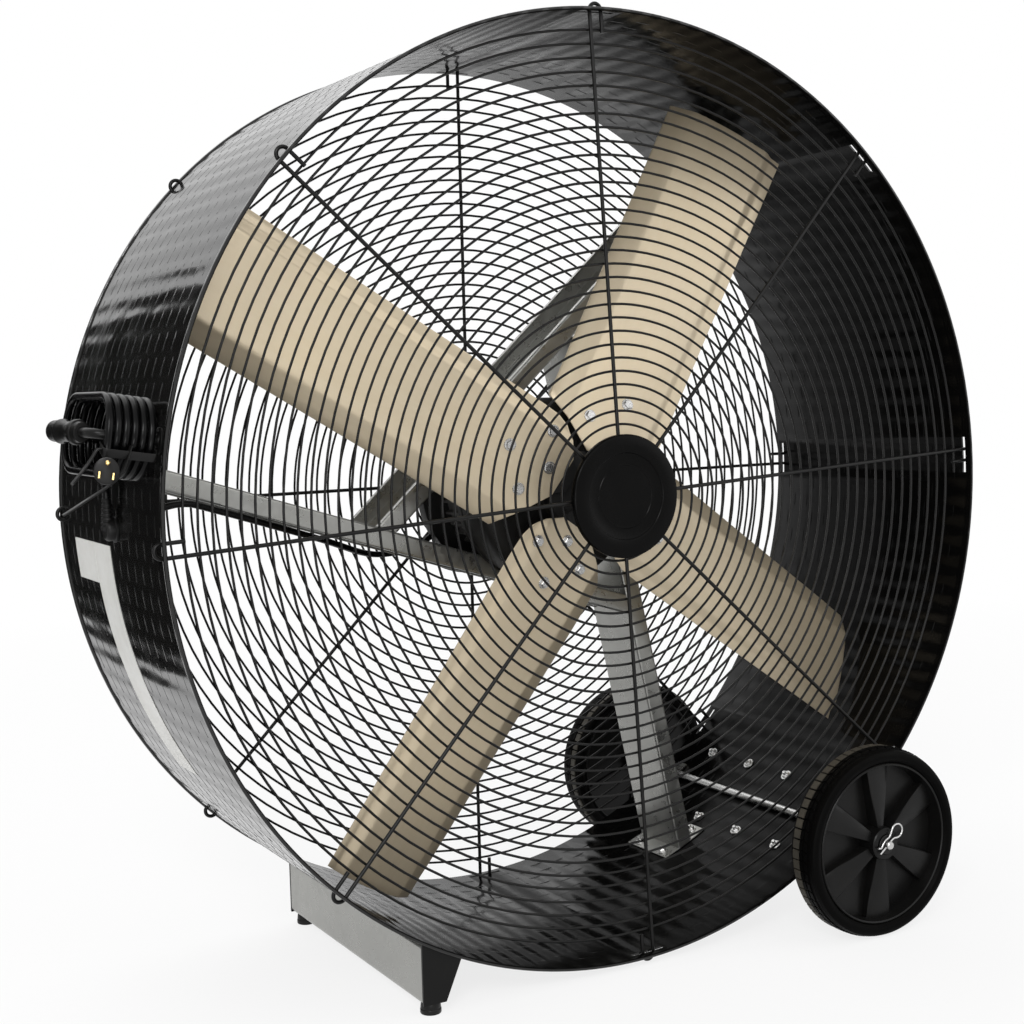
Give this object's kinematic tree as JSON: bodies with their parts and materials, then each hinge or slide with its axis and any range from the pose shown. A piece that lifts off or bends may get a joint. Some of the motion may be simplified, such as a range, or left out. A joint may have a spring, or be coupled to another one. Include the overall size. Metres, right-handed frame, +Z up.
{
  "type": "drum fan",
  "caption": "Direct-drive drum fan: open cylinder with spiral wire guards, pitched blades, two wheels, a rubber-footed bracket and a handle wound with its cord.",
  "frame": {"origin": "on the floor under the middle of the fan, halfway between its outermost points without the cord", "axes": "+Z up, the drum's axis along Y with the cord-and-plug guard side facing -Y, the wheels on the +X side and the handle on the -X side"},
  "size_m": [1.2096, 0.5868, 1.1222],
  "materials": {
    "black_paint": "gloss",
    "guard_wire": "satin",
    "blade_metal": "satin, dulled by handling",
    "black_casting": "satin",
    "stator_grey": "raw",
    "zinc_sheet": "galvanised",
    "bright_steel": "zinc plated",
    "tyre_rubber": "dull",
    "black_plastic": "satin",
    "black_rubber": "satin",
    "cord_jacket": "smooth",
    "brass": "bright"
  },
  "bodies": {
    "frame": {"drum": "black_paint", "front_hub_disc": "black_paint", "rear_hub_disc": "black_paint", "axle_backing_plate": "black_paint", "front_guard_spiral": "guard_wire", "front_guard_spokes": "guard_wire", "rear_guard_spiral": "guard_wire", "rear_guard_spokes": "guard_wire", "motor_front_bell": "black_casting", "motor_rear_bell": "black_casting", "motor_stator": "stator_grey", "strut_upper": "zinc_sheet", "strut_left": "zinc_sheet", "strut_lower": "zinc_sheet", "front_axle_clip": "zinc_sheet", "rear_axle_clip": "zinc_sheet", "foot_bracket": "zinc_sheet", "axle": "bright_steel", "front_axle_spacer": "bright_steel", "rear_axle_spacer": "bright_steel", "front_washer": "bright_steel", "rear_washer": "bright_steel", "front_hair_pin": "bright_steel", "rear_hair_pin": "bright_steel", "front_foot_bolt": "bright_steel", "rear_foot_bolt": "bright_steel", "handle_bar": "bright_steel", "plate_bolt_1": "bright_steel", "plate_bolt_2": "bright_steel", "plate_bolt_3": "bright_steel", "plate_bolt_4": "bright_steel", "plate_bolt_5": "bright_steel", "plate_bolt_6": "bright_steel", "plate_bolt_7": "bright_steel", "plate_bolt_8": "bright_steel", "front_foot_cap": "black_plastic", "rear_foot_cap": "black_plastic", "handle_grip": "black_plastic", "front_rubber_foot": "black_rubber", "rear_rubber_foot": "black_rubber", "cord_relief": "black_rubber", "plug": "black_rubber", "cord_tie": "black_rubber", "motor_lead": "cord_jacket", "cord_lead": "cord_jacket", "cord_coil": "cord_jacket", "plug_blade_left": "brass", "plug_blade_right": "brass", "plug_ground_pin": "brass"},
    "rotor": {"blade_1": "blade_metal", "blade_2": "blade_metal", "blade_3": "blade_metal", "blade_4": "blade_metal", "hub_spider": "black_casting", "motor_shaft": "bright_steel"},
    "front_wheel": {"front_wheel_tyre": "tyre_rubber", "front_wheel_rim": "black_plastic"},
    "rear_wheel": {"rear_wheel_tyre": "tyre_rubber", "rear_wheel_rim": "black_plastic"}
  },
  "joints": [
    {"name": "fan_spin", "type": "hinge", "parent": "frame", "child": "rotor", "pos_m": [0.0328, 0, 0.5615], "axis": [0, 1, 0], "continuous": true},
    {"name": "front_wheel_spin", "type": "hinge", "parent": "frame", "child": "front_wheel", "pos_m": [0.3467, -0.2626, 0.118], "axis": [0, 1, 0], "continuous": true},
    {"name": "rear_wheel_spin", "type": "hinge", "parent": "frame", "child": "rear_wheel", "pos_m": [0.3467, 0.2626, 0.118], "axis": [0, 1, 0], "continuous": true}
  ]
}
